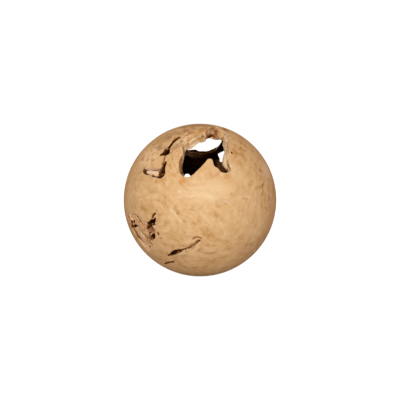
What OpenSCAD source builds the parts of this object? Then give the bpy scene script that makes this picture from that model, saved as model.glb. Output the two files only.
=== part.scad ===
// Hollow ball turned from the butt of a tree root, in one piece. The turned
// surface breaks through the root's own mouths, clefts and rotten pockets.
// The origin is the middle of the ball, +Z is up and the large mouth faces -Y.
// A place on the ball is an azimuth, from -Y towards +X, and an elevation.

/* [Ball] */
// Diameter of the turned ball
ball_d = 200; // [170:1:300]
// Thickness of the wall at the height of the ball's middle
wall = 16.5; // [14:0.5:20]
// Height of the hollow's middle above the ball's, which leaves the base heavier
hollow_lift = 2.5; // [0:0.5:4]
// Depth by which the hollow's side chambers eat into the wall
chamber_bite = 4; // [1:0.5:7]
// Diameter of a side chamber
chamber_d = 96; // [70:1:120]
// Depth of the fibre ridges on the mouths' cut faces
ridge = 0.7; // [0:0.1:1.5]

/* [Front mouth] */
// Azimuth of the front mouth
mouth_az = 6; // [0:1:12]
// Elevation of the front mouth
mouth_el = 41; // [36:1:44]
// Width of the front mouth
mouth_w = 70; // [56:1:78]
// Height of the front mouth, from the crown of its arch to its lowest corner
mouth_h = 98; // [84:1:104]

/* [Back mouth] */
// Azimuth of the back mouth
back_az = 174; // [170:1:178]
// Elevation of the back mouth
back_el = 47; // [44:1:50]
// Width of the back mouth
back_w = 52; // [44:1:58]
// Height of the back mouth
back_h = 48; // [40:1:50]

/* [Side slot] */
// Azimuth of the side slot
slot_az = 157; // [154:1:160]
// Elevation of the side slot
slot_el = 32; // [28:1:34]
// Width of the side slot
slot_w = 18; // [12:1:22]
// Height of the side slot
slot_h = 20.5; // [15:0.5:23]

/* [Low port] */
// Azimuth of the low port
port_az = -170; // [-174:1:-166]
// Elevation of the low port
port_el = 12; // [10:1:14]
// Width of the low port
port_w = 12; // [8:0.5:14]
// Height of the low port
port_h = 15; // [10:0.5:18]

/* [Left cheek] */
// Azimuth of the left cheek, from which its pocket and clefts are placed
cheek_az = -36; // [-42:1:-32]
// Elevation of the left cheek
cheek_el = 35; // [30:1:38]
// Width of the cheek's pocket
pocket_w = 39; // [30:1:44]
// Height of the pocket
pocket_h = 13; // [9:0.5:17]
// Depth of the pocket
pocket_deep = 9; // [6:0.5:11]
// Height of the nub of hard wood left standing in the pocket
nub_h = 7.5; // [1:0.5:8]
// Width of the knot hollow, low on the upper cleft
knot_w = 11.5; // [7:0.5:14]
// Height of the knot hollow
knot_h = 14; // [9:0.5:17]
// Depth of the knot hollow
knot_deep = 9; // [4:0.5:11]
// Length of the upper cleft
upper_l = 34; // [24:1:40]
// Greatest width of the upper cleft
upper_w = 4.6; // [2:0.2:6]
// Depth of the upper cleft
upper_deep = 9; // [5:0.5:11]
// Length of the side cleft, which rises from the pocket's right end
side_l = 22; // [16:1:26]
// Greatest width of the side cleft
side_w = 6; // [2:0.2:7]
// Depth of the side cleft
side_deep = 9; // [4:0.5:10]
// Length of the hairline between the knot hollow and the side cleft
hair_l = 14; // [10:0.5:18]
// Width of the hairline
hair_w = 1.8; // [0.8:0.2:2.4]

/* [Rotten flank] */
// Azimuth of the worn flank, from which its rotten places are placed
flank_az = -51; // [-54:1:-48]
// Elevation of the worn flank
flank_el = -21; // [-24:1:-18]
// Width of the worn flank
flank_w = 61; // [50:1:68]
// Height of the worn flank
flank_h = 57; // [46:1:64]
// Depth to which the flank is worn below the ball
flank_deep = 2.4; // [0.8:0.2:4]
// Width of the rotten pocket
rot_w = 21; // [15:0.5:26]
// Height of the rotten pocket
rot_h = 32; // [24:1:38]
// Depth of the rotten pocket at its ends
rot_deep = 11; // [6:0.5:13]
// Rise of the rotten pocket's floor half way down
rot_hump = 5; // [0.5:0.5:8]
// Width of the rotten hole at the left of the flank
hole_w = 16; // [11:0.5:20]
// Height of the rotten hole
hole_h = 13; // [9:0.5:17]
// Depth of the rotten hole
hole_deep = 9; // [5:0.5:11]
// Length of the groove between the fibres
groove_l = 14; // [9:0.5:18]
// Greatest width of the groove
groove_w = 7; // [3:0.2:8]
// Depth of the groove
groove_deep = 6; // [3:0.5:8]

/* [Base cleft] */
// Azimuth of the base cleft
base_az = -15; // [-18:1:-12]
// Elevation of the base cleft
base_el = -33; // [-36:1:-30]
// Length of the base cleft
base_l = 50; // [38:1:58]
// Greatest width of the base cleft
base_w = 8; // [4:0.2:9]
// Depth of the base cleft
base_deep = 7; // [4:0.5:10]

/* [Small clefts] */
// Length of the hooked cleft over the rotten pocket
hook_l = 11; // [7:0.5:15]
// Width of the hooked cleft
hook_w = 2.8; // [1:0.2:4]
// Length of the fleck below the rotten pocket
fleck_l = 10; // [6:0.5:14]
// Width of the fleck
fleck_w = 1.8; // [1:0.2:3]
// Length of the low cleft under the base cleft
low_l = 23; // [16:1:30]
// Width of the low cleft
low_w = 2.6; // [1:0.2:4]
// Length of the curl above the end of the base cleft
curl_l = 12; // [8:0.5:16]
// Width of the curl
curl_w = 1.6; // [0.8:0.2:3]
// Depth of the curl
curl_deep = 2; // [1:0.5:4]
// Depth of the other small clefts
small_deep = 4; // [2:0.5:6]

/* [Worm hole] */
// Azimuth of the worm hole
worm_az = 31.5; // [28:0.5:34]
// Elevation of the worm hole
worm_el = 40.5; // [38:0.5:43]
// Diameter of the worm hole
worm_d = 1.8; // [1:0.1:3]
// Depth of the worm hole
worm_deep = 6; // [3:0.5:10]

/* [Hidden] */

ball_r = ball_d / 2;
// Height to which each cutting solid stands over the ball, more than the rise of a mouth's lid
over = ball_r / 8;
// Height to which the thin cutting solids stand over the ball
cleft_over = ball_r / 50;
// Height over the ball at which a rim's walls begin to turn inwards
skim = 0.4;
// Depth to which a mouth's cutting solid reaches into the hollow
reach = wall / 2;
// Steps of the fibre ridges through the wall
wall_steps = 6;
// Points on each stretch of a smoothed outline
outline_steps = 2;
// Segments of the ball
ball_fn = 72;
// Segments of the hollow's rounds
hollow_fn = 40;
// Segments of the worm hole
worm_fn = 24;

// Outlines below are in hundredths of their width and height, anticlockwise seen from outside.

// Mouth at the front where it meets the turned surface: corners, tongue and arch
MOUTH_RIM = [
    [-48, -28], [-43, -31], [-37, -33], [-30, -32], [-22, -28], [-16, -24], [-10, -20],
    [-4, -15], [0, -11], [6, -9], [10, -11], [11, -16], [13, -20], [19, -23], [22, -26],
    [27, -28], [34, -28], [41, -26], [45, -22], [45, -17], [42, -9], [43, 8], [47, 28],
    [51, 51], [47, 62], [39, 67], [30, 66], [22, 64], [17, 62], [12, 61], [7, 59], [-6, 55],
    [-19, 51], [-33, 47], [-41, 37], [-45, 27], [-42, 14], [-41, 3], [-45, -4], [-48, -10],
    [-51, -16], [-51, -24]
];
// The same mouth, point for point, where it opens into the hollow
MOUTH_THROAT = [
    [-46, -28], [-43, -31], [-37, -32], [-30, -31], [-22, -27], [-16, -23], [-10, -19],
    [-4, -14], [0, -10], [6, -8], [10, -10], [11, -15], [13, -19], [19, -21], [22, -24],
    [27, -25], [34, -25], [43, -22], [46, -16], [38, -10], [35, -3], [42, 14], [46, 34],
    [48, 56], [47, 73], [38, 68], [29, 63], [22, 69], [12, 63], [7, 54], [5, 45], [-7, 42],
    [-14, 38], [-21, 31], [-27, 26], [-37, 24], [-42, 15], [-46, 3], [-48, -4], [-49, -10],
    [-49, -16], [-47, -24]
];
// Point from which every part of the front mouth's rim can be seen
MOUTH_EYE = [8, 3];

BACK_RIM = [
    [-38, -6], [-34, -15], [-20, -24], [-10, -31], [0, -35], [18, -34], [28, -27],
    [38, -26], [47, -24], [52, -8], [54, 10], [46, 35], [27, 56], [4, 64], [-23, 62],
    [-42, 50], [-49, 29], [-44, 10]
];
BACK_THROAT = [
    [-53, 51], [-46, 34], [-31, 1], [-18, -8], [-4, -15], [16, -14], [25, -10],
    [36, -4], [48, 2], [55, 25], [55, 46], [50, 75], [33, 108], [6, 125], [-25, 129],
    [-46, 125], [-61, 108], [-62, 86]
];
BACK_EYE = [0, 20];

SLOT_RIM = [
    [14, -47], [31, -52], [44, -42], [38, -17], [46, 13], [35, 27], [14, 43],
    [-16, 48], [-46, 32], [-48, -8], [-24, -40]
];
// Sideways and upward shift of the slot's throat, which follows the slant of the grain
SLOT_SLANT = [-47, 78];
SLOT_FLARE = 1.25;

PORT_RIM = [
    [13, -47], [50, -22], [57, 12], [40, 31], [32, 46], [9, 56], [-15, 50], [-34, 25],
    [-44, -9], [-22, -43]
];
PORT_SLANT = [33, 43];
PORT_FLARE = 1.2;

POCKET_RIM = [
    [-49, 4], [-40, -18], [-31, -26], [-19, -28], [-8, -35], [4, -47], [15, -54], [25, -57],
    [33, -46], [38, -28], [41, 3], [36, 28], [21, 39], [6, 36], [-15, 41],
    [-31, 44], [-48, 43], [-60, 37]
];
POCKET_EYE = [-18, 2];
KNOT_RIM = [
    [-50, -41], [-22, -47], [15, -47], [43, -32], [48, -8], [24, 24], [-10, 53],
    [-31, 39], [-24, 6], [-37, -25]
];
FLANK_RIM = [
    [-49, 39], [-37, 26], [-46, 2], [-41, -12], [-32, -25], [-24, -40], [-16, -50],
    [-7, -55], [8, -42], [17, -33], [27, -19], [37, -8], [45, 11], [51, 35], [42, 34],
    [25, 27], [12, 29], [0, 41], [-21, 43]
];
ROT_RIM = [
    [54, 46], [31, 40], [13, 30], [-4, 26], [-26, 23], [-21, 14], [-34, 4],
    [-48, -6], [-34, -11], [-36, -24], [-32, -32], [-47, -44], [-39, -51], [-20, -54],
    [-1, -48], [18, -32], [19, -22], [35, -7], [38, 5], [41, 20], [54, 38]
];
ROT_EYE = [2, -4];
HOLE_RIM = [
    [-20, 2], [-49, -34], [38, -8], [53, 6], [19, 19], [12, 41], [0, 64], [-26, 36]
];

// Middle lines of the clefts: across and up in hundredths of the length, then the width there
// in hundredths of the greatest width.
UPPER_LINE = [
    [17, 59, 25], [12, 48, 45], [7, 34, 55], [5, 20, 65], [3, 8, 80], [0, -2, 100],
    [0, -14, 100], [-3, -25, 90], [-16, -34, 20]
];
SIDE_LINE = [[-5, 76, 30], [-7, 58, 70], [-9, 40, 90], [-7, 22, 100], [-3, 3, 110], [0, -19, 60]];
HAIR_LINE = [[3, 0, 60], [10, -20, 100], [18, -54, 90], [19, -86, 50]];
GROOVE_LINE = [[11, 42, 50], [-7, 8, 100], [-4, -25, 100], [7, -52, 20]];
BASE_LINE = [
    [-43, -31, 12], [-37, -24, 50], [-30, -17, 80], [-21, -10, 100], [-10, -6, 85],
    [0, -2, 55], [10, 1, 38], [19, 4, 36], [27, 9, 48], [34, 14, 65], [40, 21, 74],
    [47, 24, 60], [51, 25, 12]
];
HOOK_LINE = [[36, 29, 30], [4, 20, 80], [-22, -5, 100], [-33, -30, 60]];
LOW_LINE = [[-39, -36, 20], [-21, -13, 80], [14, 14, 100], [40, 26, 20]];
CURL_LINE = [[-47, -8, 20], [-23, 13, 80], [10, 19, 100], [37, -3, 30]];
FLECK_LINE = [[40, 25, 20], [4, 6, 100], [-42, -21, 20]];

// Places across and up from the middle of the left cheek
pocket_at = [-3, -19];
upper_at = [2.5, 17];
// Places across and up from the middle of the worn flank
rot_at = [18.5, 6.5];
hole_at = [-18.5, 6.5];
groove_at = [-13, -2];
fleck_at = [6, -19];
// Place across and up from the middle of the base cleft
low_at = [-24.5, -30.5];

// Places of what belongs to another cleft or pocket, in hundredths of that one's size
KNOT_ON_UPPER = [0, -15];
SIDE_ON_POCKET = [33, 0];
HAIR_ON_KNOT = [0, -50];
HOOK_ON_ROT = [50, 52];
CURL_ON_BASE = [42, 32];
knot_at = upper_at + KNOT_ON_UPPER * upper_l / 100;
side_at = pocket_at + [SIDE_ON_POCKET.x * pocket_w, SIDE_ON_POCKET.y * pocket_h] / 100;
hair_at = knot_at + [HAIR_ON_KNOT.x * knot_w, HAIR_ON_KNOT.y * knot_h] / 100;
hook_at = rot_at + [HOOK_ON_ROT.x * rot_w, HOOK_ON_ROT.y * rot_h] / 100;
curl_at = CURL_ON_BASE * base_l / 100;

// Azimuth and elevation of the hollow's side chambers
CHAMBERS = [[95, -12], [-110, -22], [35, -48], [-150, 42]];

// Rings of a blind pocket: share of the rim's size, then share of the depth
POCKET_RINGS = [[0.97, 0.4], [0.88, 0.8], [0.7, 1]];
// Rings of the worn flank
FLANK_RINGS = [[0.9, 0.45], [0.7, 0.8], [0.4, 1]];
// Share of the rim's size at which a hump in a pocket's floor rounds over
HUMP_SHARE = 0.6;
// Share of the hump's rise at which it rounds over
HUMP_SHOULDER = 0.8;
// Width of a cleft's foot as a share of its width at the surface
CLEFT_FOOT = 0.25;
// Lean of the base cleft's foot towards its lower edge, as a share of its half width
BASE_LEAN = -0.4;

// Point at a share t of the way from b to c, on the smooth curve through a, b, c and d
function curve_point(a, b, c, d, t) =
    ((2 * b) + (c - a) * t + (2 * a - 5 * b + 4 * c - d) * t * t
        + (3 * b - 3 * c + d - a) * t * t * t) / 2;

// Closed smooth outline through the points of p
function smooth_loop(p) =
    let (n = len(p))
    [for (i = [0 : n - 1], j = [0 : outline_steps - 1])
        curve_point(p[(i + n - 1) % n], p[i], p[(i + 1) % n], p[(i + 2) % n], j / outline_steps)];

// Open smooth line through the points of p
function smooth_line(p) =
    let (n = len(p))
    concat(
        [for (i = [0 : n - 2], j = [0 : outline_steps - 1])
            curve_point(p[max(i - 1, 0)], p[i], p[i + 1], p[min(i + 2, n - 1)], j / outline_steps)],
        [p[n - 1]]
    );

// Outline in hundredths brought to its size
function sized(p, w, h) = [for (q = p) [q.x * w, q.y * h] / 100];

// Point at the distance rho from the ball's middle, p.x across and p.y up from the spot as
// measured along the ball's surface
function on_ball(p, rho) =
    let (turn = norm(p) / ball_r * 180 / PI, pull = norm(p) > 0 ? sin(turn) / norm(p) : 0)
    rho * [p.x * pull, p.y * pull, cos(turn)];

// Outline laid on a sphere of the radius rho
function ring(p, rho) = [for (q = p) on_ball(q, rho)];

// Outline drawn towards the point eye, to the share k of its size
function drawn_in(p, eye, k) = [for (q = p) eye + (q - eye) * k];

// Outline moved away from the point eye by the distance d
function pushed_out(p, eye, d) = [for (q = p) q + (q - eye) / norm(q - eye) * d];

// Unit vector across the line p at its point i
function across(p, i) =
    let (d = p[min(i + 1, len(p) - 1)] - p[max(i - 1, 0)], e = [-d.y, d.x])
    e / norm(e);

// Turns what is built about +Z to a spot on the ball
module at_spot(az, el) {
    rotate([90 - el, 0, az])
        children();
}

// Solid over closed rings of equally many points, with a point over each end. The rings run
// anticlockwise as seen from the first end.
module skin(rings, first, last) {
    n = len(rings[0]);
    m = len(rings);
    sides = [for (j = [0 : m - 2], i = [0 : n - 1])
        let (a = j * n + i, b = j * n + (i + 1) % n)
        each [[a, b, a + n], [b, b + n, a + n]]];
    lid = [for (i = [0 : n - 1]) [m * n, (i + 1) % n, i]];
    foot = [for (i = [0 : n - 1]) [m * n + 1, (m - 1) * n + i, (m - 1) * n + (i + 1) % n]];
    polyhedron(concat([for (r = rings) each r], [first, last]), concat(sides, lid, foot));
}

// Cutting solid of a mouth that goes through the wall from rim to throat
module mouth(az, el, rim, throat, eye) {
    outside = smooth_loop(rim);
    inside = smooth_loop(throat);
    through = [for (k = [0 : wall_steps])
        let (t = k / wall_steps, swell = ridge * (k % 2) * sin(180 * t))
        ring(
            pushed_out(outside * (1 - t) + inside * t, eye, swell),
            ball_r + skim - (wall + skim) * t
        )];
    at_spot(az, el)
        skin(
            concat([ring(outside, ball_r + over)], through, [ring(inside, ball_r - wall - reach)]),
            on_ball(eye, ball_r + over),
            on_ball(eye, ball_r - wall - reach)
        );
}

// Cutting solid of a blind pocket at a place, whose floor rises by hump in the middle
module pocket(at, rim, deep, eye, rings, hump = 0) {
    outside = [for (q = smooth_loop(rim)) q + at];
    middle = eye + at;
    skin(
        concat(
            [ring(outside, ball_r + over), ring(outside, ball_r + skim)],
            [for (r = rings) ring(drawn_in(outside, middle, r[0]), ball_r - deep * r[1])],
            hump > 0
                ? [ring(drawn_in(outside, middle, HUMP_SHARE), ball_r - deep + hump * HUMP_SHOULDER)]
                : []
        ),
        on_ball(middle, ball_r + over),
        on_ball(middle, ball_r - deep + hump)
    );
}

// Cutting solid of a cleft at a place: a wedge along a line, which leans across the line
// as it deepens
module cleft(at, line, l, w, deep, lean = 0) {
    path = smooth_line([for (q = line) [q.x * l / 100, q.y * l / 100, q.z * w / 100]]);
    mid = [for (q = path) at + [q.x, q.y]];
    sections = [for (i = [0 : len(path) - 1])
        let (
            half = across(mid, i) * path[i].z / 2,
            foot = mid[i] + half * lean,
            down = deep * sqrt(path[i].z / w)
        )
        [
            on_ball(mid[i] - half, ball_r + cleft_over),
            on_ball(mid[i] + half, ball_r + cleft_over),
            on_ball(foot + half * CLEFT_FOOT, ball_r - down),
            on_ball(foot - half * CLEFT_FOOT, ball_r - down)
        ]];
    skin(
        sections,
        on_ball(mid[0], ball_r + cleft_over / 2),
        on_ball(mid[len(mid) - 1], ball_r + cleft_over / 2)
    );
}

// Space inside the ball: a round hollow with side chambers
module hollow() {
    translate([0, 0, hollow_lift])
        sphere(r = ball_r - wall, $fn = hollow_fn);
    for (c = CHAMBERS)
        at_spot(c[0], c[1])
            translate([0, 0, ball_r - wall + chamber_bite - chamber_d / 2])
                sphere(d = chamber_d, $fn = hollow_fn);
}

// Mouths that let light through the ball
module mouths() {
    mouth(
        mouth_az, mouth_el,
        sized(MOUTH_RIM, mouth_w, mouth_h), sized(MOUTH_THROAT, mouth_w, mouth_h),
        sized([MOUTH_EYE], mouth_w, mouth_h)[0]
    );
    mouth(
        back_az, back_el,
        sized(BACK_RIM, back_w, back_h), sized(BACK_THROAT, back_w, back_h),
        sized([BACK_EYE], back_w, back_h)[0]
    );
    mouth(
        slot_az, slot_el,
        sized(SLOT_RIM, slot_w, slot_h),
        sized([for (q = SLOT_RIM) q * SLOT_FLARE + SLOT_SLANT], slot_w, slot_h),
        [0, 0]
    );
    mouth(
        port_az, port_el,
        sized(PORT_RIM, port_w, port_h),
        sized([for (q = PORT_RIM) q * PORT_FLARE + PORT_SLANT], port_w, port_h),
        [0, 0]
    );
}

// Pocket with its nub, knot hollow and clefts of the left cheek
module left_cheek() {
    at_spot(cheek_az, cheek_el) {
        pocket(
            pocket_at, sized(POCKET_RIM, pocket_w, pocket_h), pocket_deep,
            sized([POCKET_EYE], pocket_w, pocket_h)[0], POCKET_RINGS, nub_h
        );
        pocket(knot_at, sized(KNOT_RIM, knot_w, knot_h), knot_deep, [0, 0], POCKET_RINGS);
        cleft(upper_at, UPPER_LINE, upper_l, upper_w, upper_deep);
        cleft(side_at, SIDE_LINE, side_l, side_w, side_deep);
        cleft(hair_at, HAIR_LINE, hair_l, hair_w, small_deep);
    }
}

// Worn flank with its rotten pocket and hole, and the clefts between them
module rotten_flank() {
    at_spot(flank_az, flank_el) {
        pocket([0, 0], sized(FLANK_RIM, flank_w, flank_h), flank_deep, [0, 0], FLANK_RINGS);
        pocket(
            rot_at, sized(ROT_RIM, rot_w, rot_h), rot_deep,
            sized([ROT_EYE], rot_w, rot_h)[0], POCKET_RINGS, rot_hump
        );
        pocket(hole_at, sized(HOLE_RIM, hole_w, hole_h), hole_deep, [0, 0], POCKET_RINGS);
        cleft(groove_at, GROOVE_LINE, groove_l, groove_w, groove_deep);
        cleft(fleck_at, FLECK_LINE, fleck_l, fleck_w, small_deep + flank_deep);
        cleft(hook_at, HOOK_LINE, hook_l, hook_w, small_deep);
    }
}

// Clefts near the base
module base_clefts() {
    at_spot(base_az, base_el) {
        cleft([0, 0], BASE_LINE, base_l, base_w, base_deep, BASE_LEAN);
        cleft(low_at, LOW_LINE, low_l, low_w, small_deep);
        cleft(curl_at, CURL_LINE, curl_l, curl_w, curl_deep);
    }
}

// Round hole of a wood worm
module worm_hole() {
    at_spot(worm_az, worm_el)
        translate([0, 0, ball_r - worm_deep])
            cylinder(d = worm_d, h = worm_deep + over, $fn = worm_fn);
}

module root_ball() {
    color("burlywood")
        difference() {
            sphere(d = ball_d, $fn = ball_fn);
            hollow();
            mouths();
            left_cheek();
            rotten_flank();
            base_clefts();
            worm_hole();
        }
}

root_ball();
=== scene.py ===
"""Hollow ball turned from the butt of a tree root, dressed and set in a plain white studio.

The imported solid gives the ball, its mouths, pockets and clefts. This script weathers a copy
of it, gives it one wood finish that changes with the depth below the turned surface, and
sets up the floor, the light and the camera.

Lengths on the ball are in millimetres and the meshes are in metres. A place on the ball is an
azimuth, from -Y towards +X, and an elevation, both in degrees.
"""

import logging
import math
from dataclasses import dataclass, field
from enum import Enum

import bmesh
import bpy
import numpy as np
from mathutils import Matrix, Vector
from mathutils.bvhtree import BVHTree


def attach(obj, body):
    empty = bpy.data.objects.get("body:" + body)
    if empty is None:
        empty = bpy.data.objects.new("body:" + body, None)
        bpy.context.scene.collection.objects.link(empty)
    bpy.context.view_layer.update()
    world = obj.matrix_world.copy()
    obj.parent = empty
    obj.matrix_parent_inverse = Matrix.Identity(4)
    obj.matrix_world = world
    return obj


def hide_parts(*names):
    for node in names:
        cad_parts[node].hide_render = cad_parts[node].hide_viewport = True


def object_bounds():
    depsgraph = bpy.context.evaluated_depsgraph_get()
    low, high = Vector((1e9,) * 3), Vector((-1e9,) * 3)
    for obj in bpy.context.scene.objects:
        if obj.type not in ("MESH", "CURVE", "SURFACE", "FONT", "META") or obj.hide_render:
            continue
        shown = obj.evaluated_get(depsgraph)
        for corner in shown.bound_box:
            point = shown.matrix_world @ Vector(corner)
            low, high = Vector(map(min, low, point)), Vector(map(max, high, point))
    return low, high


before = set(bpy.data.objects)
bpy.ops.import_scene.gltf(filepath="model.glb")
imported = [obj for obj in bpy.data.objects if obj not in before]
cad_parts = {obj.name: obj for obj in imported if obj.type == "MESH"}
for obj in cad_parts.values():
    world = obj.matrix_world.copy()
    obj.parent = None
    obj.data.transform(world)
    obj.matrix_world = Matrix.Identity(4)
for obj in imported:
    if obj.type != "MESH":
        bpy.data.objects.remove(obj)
CAD_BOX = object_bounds()

MM = 0.001
NODE = "root_ball"
BODY = "root"

log = logging.getLogger("root_ball_scene")


# ---------------------------------------------------------------------------
# Colours, places and noise
# ---------------------------------------------------------------------------


def srgb(red: float, green: float, blue: float) -> tuple[float, float, float, float]:
    """Turns a colour as a paint chart gives it, 0 to 255, into Blender's linear colour.

    Args:
        red: Red, from 0 to 255.
        green: Green, from 0 to 255.
        blue: Blue, from 0 to 255.

    Returns:
        The linear colour with an alpha of 1.
    """
    def linear(value: float) -> float:
        share = value / 255
        return share / 12.92 if share <= 0.04045 else ((share + 0.055) / 1.055) ** 2.4

    return (linear(red), linear(green), linear(blue), 1.0)


@dataclass(frozen=True)
class Spot:
    """A place on the ball, with the plane that touches the ball there.

    Attributes:
        azimuth: Degrees from -Y towards +X.
        elevation: Degrees above the ball's middle height.
    """

    azimuth: float
    elevation: float

    def axes(self) -> tuple[Vector, Vector, Vector]:
        """Returns the unit vectors across, up and outward at the spot."""
        az, el = math.radians(self.azimuth), math.radians(self.elevation)
        across = Vector((math.cos(az), math.sin(az), 0))
        outward = Vector((math.sin(az) * math.cos(el), -math.cos(az) * math.cos(el), math.sin(el)))
        return across, outward.cross(across), outward

    def on_ball(self, across: float, up: float, radius: float) -> Vector:
        """Finds a point by its distances from the spot, measured along the ball's surface.

        Args:
            across: Millimetres to the right, seen from outside.
            up: Millimetres upwards.
            radius: The ball's radius in millimetres.

        Returns:
            The point, in millimetres.
        """
        right, upward, outward = self.axes()
        length = math.hypot(across, up)
        turn = length / radius
        pull = math.sin(turn) / length if length else 0.0
        return radius * (right * across * pull + upward * up * pull + outward * math.cos(turn))


class LatticeNoise:
    """Smooth noise in space, the same on each run, from -1 to 1.

    Each corner of a unit lattice has a fixed random slope, and the noise blends the slopes of
    the eight corners round a point.
    """

    SIDE = 64

    def __init__(self, seed: int) -> None:
        """Draws the lattice's slopes.

        Args:
            seed: The number that picks the pattern.
        """
        slopes = np.random.default_rng(seed).normal(size=(self.SIDE,) * 3 + (3,))
        self.slopes = slopes / np.linalg.norm(slopes, axis=-1, keepdims=True)

    def at(self, points: np.ndarray) -> np.ndarray:
        """Samples the noise.

        Args:
            points: Points as rows, in lattice units.

        Returns:
            One value for each point.
        """
        low = np.floor(points).astype(int)
        part = points - low
        fade = part**3 * (part * (part * 6 - 15) + 10)
        total = np.zeros(len(points))
        for corner in np.ndindex(2, 2, 2):
            step = np.array(corner)
            x, y, z = ((low + step) % self.SIDE).T
            share = np.prod(np.where(step, fade, 1 - fade), axis=1)
            total += share * np.einsum("ij,ij->i", self.slopes[x, y, z], part - step)
        return total * 1.6

    def layered(self, points: np.ndarray, layers: int) -> np.ndarray:
        """Adds layers of the noise, each twice as fine and half as strong as the last.

        Args:
            points: Points as rows, in lattice units of the first layer.
            layers: How many layers to add.

        Returns:
            One value for each point.
        """
        return sum(self.at(points * 2**k + 7.3 * k) / 2**k for k in range(layers))


def rise(value: np.ndarray, low: float, high: float) -> np.ndarray:
    """Climbs smoothly from 0 to 1 as value goes from low to high.

    Args:
        value: What is measured.
        low: Where the climb starts.
        high: Where it ends.

    Returns:
        The shares, from 0 to 1.
    """
    share = np.clip((value - low) / (high - low), 0, 1)
    return share * share * (3 - 2 * share)


# ---------------------------------------------------------------------------
# Marks on the turned surface
# ---------------------------------------------------------------------------


class Tone(Enum):
    """Colour of a patch of the wood, as a paint chart gives it."""

    AMBER = (232, 158, 74)
    HONEY = (214, 160, 96)
    CREAM = (246, 218, 172)
    IVORY = (255, 234, 192)
    ROSE = (222, 172, 136)
    RUSSET = (180, 128, 96)
    PEACH = (250, 206, 156)
    BLUSH = (252, 226, 200)
    OCHRE = (208, 164, 100)
    TAN = (196, 148, 96)
    UMBER = (150, 100, 58)
    # The two darkest tones are painted shade; the darker one also blackens cracks.
    SHADE_BROWN = (112, 66, 30)
    SHADE_AND_CRACK_BLACK = (38, 15, 4)


@dataclass(frozen=True)
class Stain:
    """A soft patch of another tone.

    Attributes:
        spot: Its middle.
        across: Half its width, in millimetres.
        up: Half its height, in millimetres.
        turn: Degrees by which it is turned anticlockwise, seen from outside.
        tone: Its colour.
        strength: How much of the tone shows, from 0 to 1.
        depth: Depth of its middle on torn wood, in millimetres, or None on the turned surface.
    """

    spot: Spot
    across: float
    up: float
    turn: float
    tone: Tone
    strength: float
    depth: float | None = None


@dataclass(frozen=True)
class CrackAndShadeLine:
    """A dark line: a crack in the wood, and painted shade along a narrow deep cleft.

    Attributes:
        spot: The place that its points are measured from.
        points: Millimetres across and up from the spot.
        width: Its width in millimetres.
        strength: How dark it is, from 0 to 1.
    """

    spot: Spot
    points: tuple[tuple[float, float], ...]
    width: float
    strength: float


@dataclass(frozen=True)
class Swirl:
    """A place where the grain bends round an old knot.

    Attributes:
        spot: Its middle.
        reach: Radius of the bend, in millimetres.
        lift: How far it pushes the growth rings, in millimetres.
    """

    spot: Spot
    reach: float
    lift: float


# ---------------------------------------------------------------------------
# Finishes
# ---------------------------------------------------------------------------


@dataclass(frozen=True)
class WoodFinish:
    """One state of the wood's surface.

    Attributes:
        light: Its palest colour.
        body: Its main colour.
        dark: Its darkest colour.
        roughness: Its mean roughness.
        shine: How much of a thin gloss lies on it, from 0 to 1.
        fibre: Depth of its fibres in the bump, in millimetres.
    """

    light: tuple[float, float, float, float]
    body: tuple[float, float, float, float]
    dark: tuple[float, float, float, float]
    roughness: float = 0.85
    shine: float = 0.0
    fibre: float = 0.0


TURNED = WoodFinish(srgb(242, 209, 161), srgb(230, 191, 138), srgb(202, 150, 88), 0.5, 0.55, 0.05)
CHALKY = WoodFinish(srgb(250, 220, 176), srgb(242, 204, 154), srgb(214, 166, 112), fibre=0.18)
TORN = WoodFinish(srgb(255, 232, 190), srgb(242, 204, 156), srgb(172, 118, 66), fibre=0.4)
# The hollow's near-black wall is painted shade.
HOLLOW_SHADE = WoodFinish(srgb(48, 20, 9), srgb(34, 13, 6), srgb(20, 8, 3))
# What painted shade and cracks multiply the wood's colour by before they turn it black
SHADE_AND_CRACK_TINT = srgb(172, 135, 96)

CHEEK = Spot(-36, 35)
FLANK = Spot(-51, -21)
BASE = Spot(-15, -33)
JAMB = Spot(-20, 30)
# Degrees by which the worn flank's fibres fall to the right
FIBRE_SLOPE = -46
# Millimetres from the worn flank's middle at which its fibres begin to die away, and are gone
FLANK_NEAR = 26.0
FLANK_FAR = 36.0


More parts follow.
